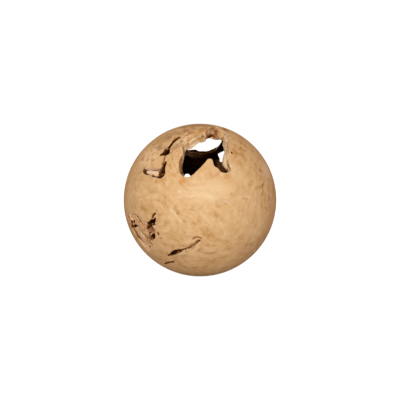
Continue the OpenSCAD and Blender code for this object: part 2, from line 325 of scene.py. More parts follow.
class Plan:
    """Short words for building a shader's nodes."""

    def __init__(self, tree: bpy.types.NodeTree) -> None:
        """Keeps the tree that the nodes go into.

        Args:
            tree: A material's or a group's node tree.
        """
        self.tree = tree

    def add(self, kind: str, **values: object) -> bpy.types.Node:
        """Makes a node and sets its plain properties.

        Args:
            kind: The node's type name.
            **values: Properties of the node by name.

        Returns:
            The node.
        """
        node = self.tree.nodes.new(kind)
        for name, value in values.items():
            setattr(node, name, value)
        return node

    def feed(self, socket: bpy.types.NodeSocket, value: object) -> None:
        """Links an output to a socket, or sets the socket to a plain value.

        Args:
            socket: The input.
            value: An output socket, a number, a colour or a vector.
        """
        if isinstance(value, bpy.types.NodeSocket):
            self.tree.links.new(value, socket)
        else:
            socket.default_value = value

    def math(self, operation: str, *values: object) -> bpy.types.NodeSocket:
        """Returns the result of a Math node on the values."""
        node = self.add("ShaderNodeMath", operation=operation)
        for socket, value in zip(node.inputs, values):
            self.feed(socket, value)
        return node.outputs[0]

    def vector(self, operation: str, *values: object) -> bpy.types.NodeSocket:
        """Returns the result of a Vector Math node on the values: a number or a vector."""
        node = self.add("ShaderNodeVectorMath", operation=operation)
        for socket, value in zip(node.inputs, values):
            self.feed(socket, value)
        return node.outputs["Value" if operation in ("LENGTH", "DISTANCE", "DOT_PRODUCT") else "Vector"]

    def scaled(self, vector: object, scale: object) -> bpy.types.NodeSocket:
        """Returns a vector times a number."""
        node = self.add("ShaderNodeVectorMath", operation="SCALE")
        self.feed(node.inputs[0], vector)
        self.feed(node.inputs["Scale"], scale)
        return node.outputs[0]

    def span(self, value: object, low: object, high: object, out_low: float = 0.0,
             out_high: float = 1.0) -> bpy.types.NodeSocket:
        """Returns value carried smoothly from low..high to out_low..out_high, held at the ends."""
        node = self.add("ShaderNodeMapRange", interpolation_type="SMOOTHSTEP")
        for socket, given in zip(node.inputs, (value, low, high, out_low, out_high)):
            self.feed(socket, given)
        return node.outputs[0]

    def noise(self, place: object, size: float, detail: float = 2.0,
              rough: float = 0.5) -> bpy.types.NodeSocket:
        """Returns a noise from 0 to 1 whose lumps are about size millimetres."""
        node = self.add("ShaderNodeTexNoise")
        self.feed(node.inputs["Vector"], place)
        self.feed(node.inputs["Scale"], 1 / size)
        self.feed(node.inputs["Detail"], detail)
        self.feed(node.inputs["Roughness"], rough)
        return node.outputs["Fac"]

    def grain(self, place: object, rings: object, length: float, width: float, detail: float = 2.0,
              rough: float = 0.5) -> bpy.types.NodeSocket:
        """Returns a noise from 0 to 1 that is drawn out along the growth rings.

        Args:
            place: The place in the wood, in millimetres.
            rings: A distance across the rings, in millimetres.
            length: Length of a streak, in millimetres.
            width: Width of a streak, in millimetres.
            detail: Layers of finer noise.
            rough: Strength of each finer layer.
        """
        node = self.add("ShaderNodeTexNoise", noise_dimensions="4D")
        self.feed(node.inputs["Vector"], place)
        self.feed(node.inputs["Scale"], 1 / length)
        self.feed(node.inputs["W"], self.math("MULTIPLY", rings, length / width))
        self.feed(node.inputs["Detail"], detail)
        self.feed(node.inputs["Roughness"], rough)
        return node.outputs["Fac"]

    def mix(self, share: object, first: object, second: object,
            blend: str = "MIX") -> bpy.types.NodeSocket:
        """Returns one colour mixed into another by a share."""
        node = self.add("ShaderNodeMix", data_type="RGBA", blend_type=blend)
        self.feed(node.inputs["Factor"], share)
        self.feed(node.inputs[6], first)
        self.feed(node.inputs[7], second)
        return node.outputs[2]

    def blend(self, share: object, first: object, second: object) -> bpy.types.NodeSocket:
        """Returns one number mixed into another by a share."""
        node = self.add("ShaderNodeMix", data_type="FLOAT")
        self.feed(node.inputs[0], share)
        self.feed(node.inputs[2], first)
        self.feed(node.inputs[3], second)
        return node.outputs[0]

    def group(self, tree: bpy.types.NodeTree, **values: object) -> bpy.types.Node:
        """Places a node group and feeds its inputs.

        Args:
            tree: The group.
            **values: Inputs by name, with an underscore for a space.

        Returns:
            The group node.
        """
        node = self.add("ShaderNodeGroup", node_tree=tree)
        for name, value in values.items():
            self.feed(node.inputs[name.replace("_", " ")], value)
        return node


class Socket(Enum):
    """Kinds of group sockets."""

    NUMBER = "NodeSocketFloat"
    VECTOR = "NodeSocketVector"
    COLOUR = "NodeSocketColor"


class GroupPlan(Plan):
    """A shader node group with named inputs and outputs."""

    def __init__(self, name: str, inputs: dict[str, Socket], outputs: dict[str, Socket]) -> None:
        """Makes the empty group.

        Args:
            name: The group's name.
            inputs: Kinds of its inputs by name.
            outputs: Kinds of its outputs by name.
        """
        super().__init__(bpy.data.node_groups.new(name, "ShaderNodeTree"))
        for direction, sockets in (("INPUT", inputs), ("OUTPUT", outputs)):
            for label, kind in sockets.items():
                self.tree.interface.new_socket(name=label, in_out=direction, socket_type=kind.value)
        self.given = self.add("NodeGroupInput").outputs
        self.taken = self.add("NodeGroupOutput").inputs


def line_group() -> bpy.types.NodeTree:
    """Makes the group that masks a straight stretch of a dark line: a hairline crack, and painted shade in a
    deep cleft.

    Returns:
        The group, with a mask that is 1 on the stretch.
    """
    plan = GroupPlan(
        "Crack and shade stretch",
        {"Place": Socket.VECTOR, "Start": Socket.VECTOR, "Run": Socket.VECTOR,
         "Width": Socket.NUMBER, "Strength": Socket.NUMBER},
        {"Mask": Socket.NUMBER},
    )
    given = plan.given
    offset = plan.vector("SUBTRACT", given["Place"], given["Start"])
    along = plan.math(
        "DIVIDE",
        plan.vector("DOT_PRODUCT", offset, given["Run"]),
        plan.vector("DOT_PRODUCT", given["Run"], given["Run"]),
    )
    held = plan.math("MINIMUM", plan.math("MAXIMUM", along, 0.0), 1.0)
    away = plan.vector("LENGTH", plan.vector("SUBTRACT", offset, plan.scaled(given["Run"], held)))
    ratio = plan.math("DIVIDE", away, given["Width"])
    plan.feed(plan.taken["Mask"], plan.math("MULTIPLY", plan.span(ratio, 0.25, 0.75, 1.0, 0.0),
                                            given["Strength"]))
    return plan.tree


def patch_group() -> bpy.types.NodeTree:
    """Makes the group that masks a soft oval patch.

    Returns:
        The group, with a mask that fades from the patch's middle to its edge.
    """
    plan = GroupPlan(
        "Oval patch",
        {"Place": Socket.VECTOR, "Middle": Socket.VECTOR, "Long way": Socket.VECTOR,
         "Short way": Socket.VECTOR, "Deep way": Socket.VECTOR, "Ragged": Socket.NUMBER,
         "Strength": Socket.NUMBER},
        {"Mask": Socket.NUMBER},
    )
    given = plan.given
    offset = plan.vector("SUBTRACT", given["Place"], given["Middle"])
    sides = [plan.vector("DOT_PRODUCT", offset, given[way]) for way in ("Long way", "Short way", "Deep way")]
    shares = plan.add("ShaderNodeCombineXYZ")
    for socket, side in zip(shares.inputs, sides):
        plan.feed(socket, side)
    away = plan.math("ADD", plan.vector("LENGTH", shares.outputs[0]), given["Ragged"])
    plan.feed(plan.taken["Mask"], plan.math("MULTIPLY", plan.span(away, 0.35, 1.1, 1.0, 0.0),
                                            given["Strength"]))
    return plan.tree


def swirl_group() -> bpy.types.NodeTree:
    """Makes the group that lifts the growth rings round an old knot.

    Returns:
        The group, with the lift in millimetres.
    """
    plan = GroupPlan(
        "Knot swirl",
        {"Place": Socket.VECTOR, "Middle": Socket.VECTOR, "Reach": Socket.NUMBER, "Lift": Socket.NUMBER},
        {"Lift": Socket.NUMBER},
    )
    given = plan.given
    ratio = plan.math("DIVIDE", plan.vector("DISTANCE", given["Place"], given["Middle"]), given["Reach"])
    fall = plan.math("POWER", math.e, plan.math("MULTIPLY", plan.math("MULTIPLY", ratio, ratio), -1.0))
    plan.feed(plan.taken["Lift"], plan.math("MULTIPLY", fall, given["Lift"]))
    return plan.tree


def shade_and_crack_group() -> bpy.types.NodeTree:
    """Makes the group that darkens wood for painted shade and cracks: first a warm brown, then near black.

    Returns:
        The group, with the darkened colour.
    """
    plan = GroupPlan(
        "Shaded and cracked wood", {"Colour": Socket.COLOUR, "Amount": Socket.NUMBER}, {"Colour": Socket.COLOUR}
    )
    given = plan.given
    browned = plan.mix(1.0, given["Colour"], SHADE_AND_CRACK_TINT, "MULTIPLY")
    tanned = plan.mix(plan.span(given["Amount"], 0.0, 0.6), given["Colour"], browned)
    black = plan.span(given["Amount"], 0.45, 1.0)
    plan.feed(plan.taken["Colour"], plan.mix(black, tanned, srgb(*Tone.SHADE_AND_CRACK_BLACK.value)))
    return plan.tree


def tint_group() -> bpy.types.NodeTree:
    """Makes the group that colours a finish by its figure.

    Returns:
        The group: 0 gives the dark colour, 0.5 the body and 1 the light one.
    """
    plan = GroupPlan(
        "Wood tint",
        {"Figure": Socket.NUMBER, "Light": Socket.COLOUR, "Body": Socket.COLOUR, "Dark": Socket.COLOUR},
        {"Colour": Socket.COLOUR},
    )
    given = plan.given
    low = plan.mix(plan.span(given["Figure"], 0.0, 0.5), given["Dark"], given["Body"])
    plan.feed(plan.taken["Colour"], plan.mix(plan.span(given["Figure"], 0.5, 1.0), low, given["Light"]))
    return plan.tree


# ---------------------------------------------------------------------------
# The ball
# ---------------------------------------------------------------------------


@dataclass(frozen=True)
class Lean:
    """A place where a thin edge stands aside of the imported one.

    Attributes:
        spot: Its middle.
        shift: How far the edge moves towards +X, +Y and +Z, in millimetres.
        depth: Depth of its middle, in millimetres.
        reach: Distance at which the lean has died away, in millimetres.
    """

    spot: Spot
    shift: tuple[float, float, float]
    depth: float = 15.0
    reach: float = 13.0


@dataclass
class RootBall:
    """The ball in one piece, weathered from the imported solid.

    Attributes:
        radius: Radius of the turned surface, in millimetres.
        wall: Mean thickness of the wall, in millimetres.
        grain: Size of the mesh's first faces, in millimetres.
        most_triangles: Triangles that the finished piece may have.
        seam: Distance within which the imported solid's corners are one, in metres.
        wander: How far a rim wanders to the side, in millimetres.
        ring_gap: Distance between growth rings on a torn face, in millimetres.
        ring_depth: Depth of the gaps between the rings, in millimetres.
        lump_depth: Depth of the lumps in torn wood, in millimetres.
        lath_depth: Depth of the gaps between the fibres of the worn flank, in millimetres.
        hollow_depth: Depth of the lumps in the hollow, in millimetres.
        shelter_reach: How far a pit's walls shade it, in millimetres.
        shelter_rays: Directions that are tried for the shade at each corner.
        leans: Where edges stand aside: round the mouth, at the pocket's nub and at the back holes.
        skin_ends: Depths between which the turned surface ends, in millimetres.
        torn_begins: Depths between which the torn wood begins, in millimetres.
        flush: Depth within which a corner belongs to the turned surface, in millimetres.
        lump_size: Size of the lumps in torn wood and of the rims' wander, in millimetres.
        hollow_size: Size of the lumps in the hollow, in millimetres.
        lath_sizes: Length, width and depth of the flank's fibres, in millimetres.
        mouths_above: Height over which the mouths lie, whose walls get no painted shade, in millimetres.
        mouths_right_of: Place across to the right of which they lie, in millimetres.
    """

    radius: float
    wall: float = 16.5
    grain: float = 0.5
    most_triangles: int = 195_000
    seam: float = 1e-6
    wander: float = 0.35
    ring_gap: float = 3.6
    ring_depth: float = 0.8
    lump_depth: float = 0.5
    lath_depth: float = 0.8
    hollow_depth: float = 0.4
    shelter_reach: float = 14.0
    shelter_rays: int = 20
    leans: tuple[Lean, ...] = (
        Lean(Spot(69, 72), (0, 0, -2.6)),
        Lean(Spot(47, 75), (0, 0, -2.3)),
        Lean(Spot(23, 75), (0, 0, -1.9)),
        Lean(Spot(12, 69), (0, 0, -1.8)),
        Lean(Spot(-1, 64), (0, 0, -1.8)),
        Lean(Spot(-9, 58), (0.8, 0, -2.4)),
        Lean(Spot(38, 55), (-1.1, 0, 0)),
        Lean(Spot(28, 43), (-1.2, 0, 0)),
        Lean(Spot(-46, 24.5), (-3.4, 3.2, 0.3), 5, 8.5),
        Lean(Spot(44, 59), (-2.6, 0, 0), 11, 9),
        Lean(Spot(159, 38), (3.0, 0, 0), 1, 7),
        Lean(Spot(-170, 18), (0, 0, -1.4), 8, 12),
    )
    skin_ends: tuple[float, float] = (0.15, 0.5)
    torn_begins: tuple[float, float] = (0.3, 1.6)
    flush: float = 0.12
    lump_size: float = 6.0
    hollow_size: float = 22.0
    lath_sizes: tuple[float, float, float] = (15.0, 2.6, 5.0)
    mouths_above: float = 20.0
    mouths_right_of: float = -34.0
    piece: bpy.types.Object = field(init=False)

    def build(self) -> None:
        """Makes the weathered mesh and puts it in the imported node's place."""
        self.piece = self.copied()
        self.remeshed()
        self.weathered()
        self.thinned()
        self.cleared()
        self.rounded()
        self.sheltered()
        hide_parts(NODE)
        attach(self.piece, BODY)

    def copied(self) -> bpy.types.Object:
        """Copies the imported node's mesh and joins its loose triangles.

        Returns:
            The new object, linked to the scene.
        """
        form = bmesh.new()
        form.from_mesh(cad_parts[NODE].data)
        bmesh.ops.remove_doubles(form, verts=form.verts, dist=self.seam)
        mesh = bpy.data.meshes.new("wood_ball")
        form.to_mesh(mesh)
        form.free()
        piece = bpy.data.objects.new("wood_ball", mesh)
        bpy.context.scene.collection.objects.link(piece)
        return piece

    def applied(self) -> None:
        """Makes the piece's modifiers part of its mesh."""
        seen = self.piece.evaluated_get(bpy.context.evaluated_depsgraph_get())
        mesh = bpy.data.meshes.new_from_object(seen)
        self.piece.modifiers.clear()
        spare = self.piece.data
        self.piece.data = mesh
        bpy.data.meshes.remove(spare)
        mesh.name = "wood_ball"

    def remeshed(self) -> None:
        """Gives the piece even faces, which also wears its sharp edges a little."""
        remesh = self.piece.modifiers.new("even_faces", "REMESH")
        remesh.mode = "VOXEL"
        remesh.voxel_size = self.grain * MM
        self.applied()

    def corners(self) -> np.ndarray:
        """Returns the mesh's corners as rows, in millimetres."""
        flat = np.empty(len(self.piece.data.vertices) * 3, np.float32)
        self.piece.data.vertices.foreach_get("co", flat)
        return flat.reshape(-1, 3).astype(float) / MM

    def normals(self) -> np.ndarray:
        """Returns the normals at the mesh's corners as rows."""
        flat = np.empty(len(self.piece.data.vertices) * 3, np.float32)
        self.piece.data.vertex_normals.foreach_get("vector", flat)
        return flat.reshape(-1, 3).astype(float)

    def place(self, corners: np.ndarray) -> None:
        """Moves the mesh's corners.

        Args:
            corners: The new places as rows, in millimetres.
        """
        self.piece.data.vertices.foreach_set("co", (corners * MM).astype(np.float32).ravel())
        self.piece.data.update()

    def weathered(self) -> None:
        """Opens the fibres of the torn faces, roughens the hollow and lets the rims wander."""
        corners, normals = self.corners(), self.normals()
        distance = np.linalg.norm(corners, axis=1)
        depth = self.radius - distance
        outward = corners / distance[:, None]
        facing = np.einsum("ij,ij->i", normals, outward)
        turned = (1 - rise(depth, *self.skin_ends)) * rise(facing, 0.8, 0.97)
        torn = rise(depth, *self.torn_begins)
        hollow = rise(depth, 0.75 * self.wall, self.wall) * rise(-facing, 0.4, 0.9)

        rings = LatticeNoise(11)
        lumps = LatticeNoise(23)
        phase = depth / self.ring_gap + 1.1 * rings.at(corners / 16) + 0.35 * rings.at(corners / 4)
        gap = 1 - np.abs(2 * (phase - np.floor(phase)) - 1)
        patchy = rise(rings.at(corners / 12 + 31), -0.35, 0.5)
        lip = 1 - 0.8 * rise(depth, 0.6 * self.wall, 0.8 * self.wall)
        cut = self.ring_depth * (gap**2 - 0.3) * patchy * rise(depth, 2.6, 4.5)
        cut = lip * (cut + self.lump_depth * lumps.layered(corners / self.lump_size, 3))
        cut += self.hollow_depth * hollow * lumps.layered(corners / self.hollow_size + 50, 3)
        cut += self.lath_depth * self.laths(corners)
        corners = corners - normals * (torn * cut)[:, None]

        for lean in self.leans:
            middle = np.array(lean.spot.on_ball(0, 0, self.radius - lean.depth))
            away = np.linalg.norm(corners - middle, axis=1)
            corners += (1 - rise(away, 0, lean.reach))[:, None] * np.array(lean.shift)

        ways = [LatticeNoise(seed).layered(corners / self.lump_size, 2) for seed in (41, 43, 47)]
        ways = np.stack(ways, axis=1)
        ways -= outward * np.einsum("ij,ij->i", ways, outward)[:, None]
        corners = corners + self.wander * ways

        distance = np.linalg.norm(corners, axis=1)
        goal = np.where(turned > 0.5, self.radius, np.minimum(distance, self.radius))
        self.place(corners * (goal / distance)[:, None])

    def laths(self, corners: np.ndarray) -> np.ndarray:
        """Lays out the gaps between the fibres of the worn flank.

        Args:
            corners: Points as rows, in millimetres.

        Returns:
            Depths from -1 to 1, and 0 away from the flank.
        """
        across, up, outward = FLANK.axes()
        slope = math.radians(FIBRE_SLOPE)
        along = across * math.cos(slope) + up * math.sin(slope)
        aside = up * math.cos(slope) - across * math.sin(slope)
        away = corners - np.array(FLANK.on_ball(0, 0, self.radius))
        near = 1 - rise(np.linalg.norm(away, axis=1), FLANK_NEAR, FLANK_FAR)
        ways = zip((along, aside, outward), self.lath_sizes)
        sides = np.stack([away @ np.array(way) / size for way, size in ways], axis=1)
        return near * LatticeNoise(61).layered(sides, 2)

    def thinned(self) -> None:
        """Takes away the faces that smooth stretches don't need."""
        self.piece.data.calc_loop_triangles()
        made = len(self.piece.data.loop_triangles)
        thin = self.piece.modifiers.new("thin", "DECIMATE")
        thin.ratio = min(1.0, self.most_triangles / made)
        self.applied()
        log.info("ball: %d triangles thinned to %d", made, len(self.piece.data.polygons))

    def cleared(self) -> None:
        """Takes away closed shells apart from the ball's own surface, such as bubbles in the wood."""
        form = bmesh.new()
        form.from_mesh(self.piece.data)
        form.verts.index_update()
        seen = [False] * len(form.verts)
        islands = []
        for start in form.verts:
            if seen[start.index]:
                continue
            seen[start.index] = True
            island = [start]
            for vert in island:
                for edge in vert.link_edges:
                    other = edge.other_vert(vert)
                    if not seen[other.index]:
                        seen[other.index] = True
                        island.append(other)
            islands.append(island)
        islands.sort(key=len)
        stray = [vert for island in islands[:-1] for vert in island]
        bmesh.ops.delete(form, geom=stray, context="VERTS")
        form.to_mesh(self.piece.data)
        form.free()
        log.info("ball: %d stray shells taken away", len(islands) - 1)

    def rounded(self) -> None:
        """Sets the turned surface back on the ball and smooths its shading."""
        corners = self.corners()
        distance = np.linalg.norm(corners, axis=1)
        on_ball = distance > self.radius - self.flush
        goal = np.where(on_ball, self.radius, distance)
        corners *= (goal / distance)[:, None]
        self.place(corners)
        self.piece.data.polygons.foreach_set("use_smooth", [True] * len(self.piece.data.polygons))
        normals = self.normals()
        facing = np.einsum("ij,ij->i", normals, corners) / self.radius
        smooth = on_ball & (facing > 0.99)
        normals[smooth] = corners[smooth] / self.radius
        self.piece.data.normals_split_custom_set_from_vertices(normals.astype(np.float32))

    def sheltered(self) -> None:
        """Measures how deep in a pit or cleft each corner lies, for the painted shade that darkens it there.

        The attribute shelter is 0 in the open and 1 where walls shut out every way outwards,
        and the attribute hollow is 1 on the hollow's own wall.
        """
        mesh = self.piece.data
        corners, normals = self.corners(), self.normals()
        depth = self.radius - np.linalg.norm(corners, axis=1)
        tree = BVHTree.FromPolygons(
            [Vector(c) for c in corners], [tuple(p.vertices) for p in mesh.polygons]
        )
        turn = math.pi * (3 - math.sqrt(5))
        ways = []
        for k in range(self.shelter_rays):
            height = 0.15 + 0.85 * (k + 0.5) / self.shelter_rays
            flat = math.sqrt(1 - height**2)
            ways.append((flat * math.cos(k * turn), flat * math.sin(k * turn), height))
        outward = corners / np.linalg.norm(corners, axis=1)[:, None]
        facing = np.einsum("ij,ij->i", normals, outward)
        hollow = rise(-facing, 0.65, 0.92) * rise(depth, 0.6 * self.wall, 0.8 * self.wall)
        shelter = np.zeros(len(corners))
        mouths = (corners[:, 2] > self.mouths_above) & (corners[:, 0] > self.mouths_right_of)
        in_wall = (depth > self.flush) & (depth < 0.9 * self.wall)
        for i in np.nonzero(in_wall & ~mouths)[0]:
            out = Vector(corners[i]).normalized()
            side = out.orthogonal().normalized()
            other = out.cross(side)
            start = Vector(corners[i]) + Vector(normals[i]) * 0.2
            hits = 0
            for x, y, z in ways:
                if tree.ray_cast(start, side * x + other * y + out * z, self.shelter_reach)[0]:
                    hits += 1
            shelter[i] = hits / self.shelter_rays
        for name, values in (("shelter", shelter), ("hollow", hollow)):
            layer = mesh.attributes.new(name, "FLOAT", "POINT")
            layer.data.foreach_set("value", values.astype(np.float32))


@dataclass
class RootWood:
    """The ball's wood: turned skin, torn faces and the hollow's painted shade in one material.

    Attributes:
        radius: Radius of the turned surface, in millimetres.
        mouth: Middle of the front mouth, which the grain runs round.
        patch: The group that masks an oval patch.
        shade_and_crack: The group that darkens wood for painted shade and cracks.
        swirls: Where the grain bends.
        stains: Patches of another tone on the turned surface.
        torn_stains_and_shade: Patches of another tone on torn wood; the darkest of them are painted shade,
            laid deep in the mouths, the pocket and the hollow.
        crack_and_shade_lines: Dark lines: cracks, and painted shade along narrow deep clefts.
        chalk: The dry patch on the cheek, where the turned surface has lost its skin.
        streak: Length and width of the broad streaks, in millimetres.
        fibre: Length and width of the fine fibres, in millimetres.
        strand: Length and width of the fibres in torn wood, in millimetres.
        split_depth: Depth of a dark line in the bump, in millimetres.
        shake: Fineness of the dark lines' shaking, in turns a millimetre.
    """

    radius: float
    mouth: Spot = Spot(6, 41)
    patch: bpy.types.NodeTree = field(init=False)
    shade_and_crack: bpy.types.NodeTree = field(init=False)
    swirls: tuple[Swirl, ...] = (
        Swirl(Spot(-58, 41), 24, 26),
        Swirl(Spot(-30, 4), 30, 30),
        Swirl(Spot(-47, 18), 16, -18),
        Swirl(Spot(-8, -12), 26, 20),
        Swirl(Spot(22, -20), 30, -22),
        Swirl(Spot(58, 25), 15, 20),
        Swirl(Spot(62, 4), 18, 18),
        Swirl(Spot(35, -48), 26, 24),
        Swirl(Spot(118, 20), 34, 34),
        Swirl(Spot(150, -25), 40, 36),
        Swirl(Spot(-130, 12), 36, 34),
        Swirl(Spot(-95, -30), 30, 28),
        Swirl(Spot(-160, -50), 30, 30),
    )
    stains: tuple[Stain, ...] = (
        Stain(Spot(66, -12), 13, 60, 4, Tone.ROSE, 0.45),
        Stain(Spot(60, -34), 12, 22, -30, Tone.TAN, 0.3),
        Stain(Spot(40, -36), 20, 9, -20, Tone.ROSE, 0.35),
        Stain(Spot(-40, -4), 20, 9, -20, Tone.OCHRE, 0.35),
        Stain(Spot(-20, -22), 16, 10, 20, Tone.OCHRE, 0.3),
        Stain(Spot(8, 11), 38, 17, 0, Tone.CREAM, 0.55),
        Stain(Spot(30, 24), 12, 16, 20, Tone.CREAM, 0.45),
        Stain(Spot(4, -8), 17, 4, -48, Tone.CREAM, 0.35),
        Stain(Spot(-8, -17), 17, 5, -90, Tone.CREAM, 0.4),
        Stain(Spot(-44, 10), 18, 3.5, -28, Tone.CREAM, 0.35),
        Stain(Spot(-31, 1), 12, 3.5, -28, Tone.CREAM, 0.35),
        Stain(Spot(48, -6), 26, 5, -81, Tone.CREAM, 0.25),
        Stain(Spot(-2, -47), 15, 4, 3, Tone.CREAM, 0.5),
        Stain(Spot(23, -37), 8, 3.5, 17, Tone.CREAM, 0.4),
        Stain(Spot(-30, 19), 15, 8, -26, Tone.HONEY, 0.35),
        Stain(Spot(-18, -3), 6.5, 5, -49, Tone.HONEY, 0.4),
        Stain(Spot(10, -21), 10, 4.5, -86, Tone.HONEY, 0.35),
        Stain(Spot(2, -45), 12, 9, 0, Tone.HONEY, 0.3),
        Stain(Spot(20, 21.5), 9, 3.5, 5, Tone.HONEY, 0.45),
        Stain(Spot(-13.5, 18.5), 4.2, 2.6, 0, Tone.AMBER, 0.6),
        Stain(Spot(-20, -3), 5.5, 2.6, -40, Tone.IVORY, 0.5),
        Stain(Spot(-17.5, -5.5), 6, 2.2, -62, Tone.IVORY, 0.55),
        Stain(Spot(-14.5, -9.5), 6, 1.9, -48, Tone.IVORY, 0.5),
        Stain(Spot(-15, 6.8), 6.5, 2.2, 27, Tone.BLUSH, 0.35),
        Stain(Spot(-15, 10.7), 4.5, 3.5, 0, Tone.IVORY, 0.35),
        Stain(Spot(-25, 16.5), 4.5, 3.5, -82, Tone.IVORY, 0.35),
        Stain(Spot(9, 7), 12, 2.8, -12, Tone.IVORY, 0.3),
        Stain(Spot(19, 6.5), 8, 2.2, -8, Tone.IVORY, 0.25),
        Stain(Spot(20, 3), 7, 2.2, -27, Tone.BLUSH, 0.3),
        Stain(Spot(3, -6.3), 4, 1.9, -40, Tone.IVORY, 0.3),
        Stain(Spot(9, -8.5), 5.5, 1.9, -39, Tone.IVORY, 0.25),
        Stain(Spot(23, 9), 2, 1.6, 0, Tone.UMBER, 0.4),
        Stain(Spot(35, 5), 8, 1.6, -9, Tone.UMBER, 0.3),
        Stain(Spot(61, 5.4), 4.5, 4, 80, Tone.UMBER, 0.3),
        Stain(Spot(-16, -5), 3.2, 2.3, -40, Tone.UMBER, 0.35),
        Stain(Spot(-48, 60), 24, 9, 40, Tone.UMBER, 0.35),
        # The broad umber band over the top makes the ball darker towards its top: painted shade.
        Stain(Spot(0, 79), 36, 9, 0, Tone.UMBER, 0.5),
        Stain(Spot(-46.5, 53), 12, 5, 45, Tone.UMBER, 0.4),
        Stain(Spot(-36, 43), 10, 5, -60, Tone.UMBER, 0.35),
        Stain(Spot(-50, 45.7), 8, 5, 38, Tone.UMBER, 0.35),
        Stain(Spot(-45, 44.1), 6, 5.5, 37, Tone.UMBER, 0.45),
        Stain(Spot(-28, 63), 7, 4.5, 45, Tone.UMBER, 0.4),
        Stain(Spot(-12.8, 70), 7, 4, 20, Tone.UMBER, 0.45),
        Stain(Spot(-5, -28), 9.5, 2.8, 38, Tone.UMBER, 0.75),
        Stain(Spot(60, 67.5), 8.5, 1.5, 65, Tone.UMBER, 0.5),
        # The pale blush patch on the right limb is a painted highlight.
        Stain(Spot(69, 24.4), 13.3, 13.1, 78, Tone.BLUSH, 0.5),
        Stain(Spot(-19, -40.9), 11.2, 6.8, 17, Tone.UMBER, 0.25),
        Stain(Spot(-25, 51.6), 5.8, 4.6, 54, Tone.IVORY, 0.5),
        Stain(Spot(-67, 3.1), 11.2, 11.4, -82, Tone.CREAM, 0.5),
        Stain(Spot(26, -54.3), 11.1, 11.7, 6, Tone.CREAM, 0.3),
        Stain(Spot(-21, 22.6), 6.3, 4.5, -56, Tone.HONEY, 0.5),
        Stain(Spot(-23, 64.7), 6.4, 5.7, 50, Tone.UMBER, 0.45),
        Stain(Spot(-17, -37.3), 8, 2.2, 20, Tone.IVORY, 0.45),
        Stain(Spot(-3.5, -32.5), 7, 2, 40, Tone.IVORY, 0.4),
        Stain(Spot(60, 68), 5, 6, 0, Tone.UMBER, 0.5),
        Stain(Spot(-59, 51), 12, 6, -10, Tone.OCHRE, 0.5),
        Stain(Spot(-62, 47.5), 6, 5, 0, Tone.UMBER, 0.4),
        Stain(Spot(-63, 35), 4, 5.5, 0, Tone.UMBER, 0.4),
        Stain(Spot(-28, 47), 3, 12, -30, Tone.UMBER, 0.35),
        Stain(Spot(-25, 45), 2.5, 7, -30, Tone.UMBER, 0.35),
        Stain(Spot(57.5, 24.7), 2.5, 4, 20, Tone.UMBER, 0.6),
        Stain(Spot(66.6, 16.6), 4, 5, 20, Tone.UMBER, 0.4),
        Stain(Spot(54.5, 13.5), 5, 2, 35, Tone.UMBER, 0.55),
        Stain(Spot(47, 12), 9, 4, 20, Tone.OCHRE, 0.6),
        Stain(Spot(61.5, 3), 3, 4, 0, Tone.UMBER, 0.4),
    )
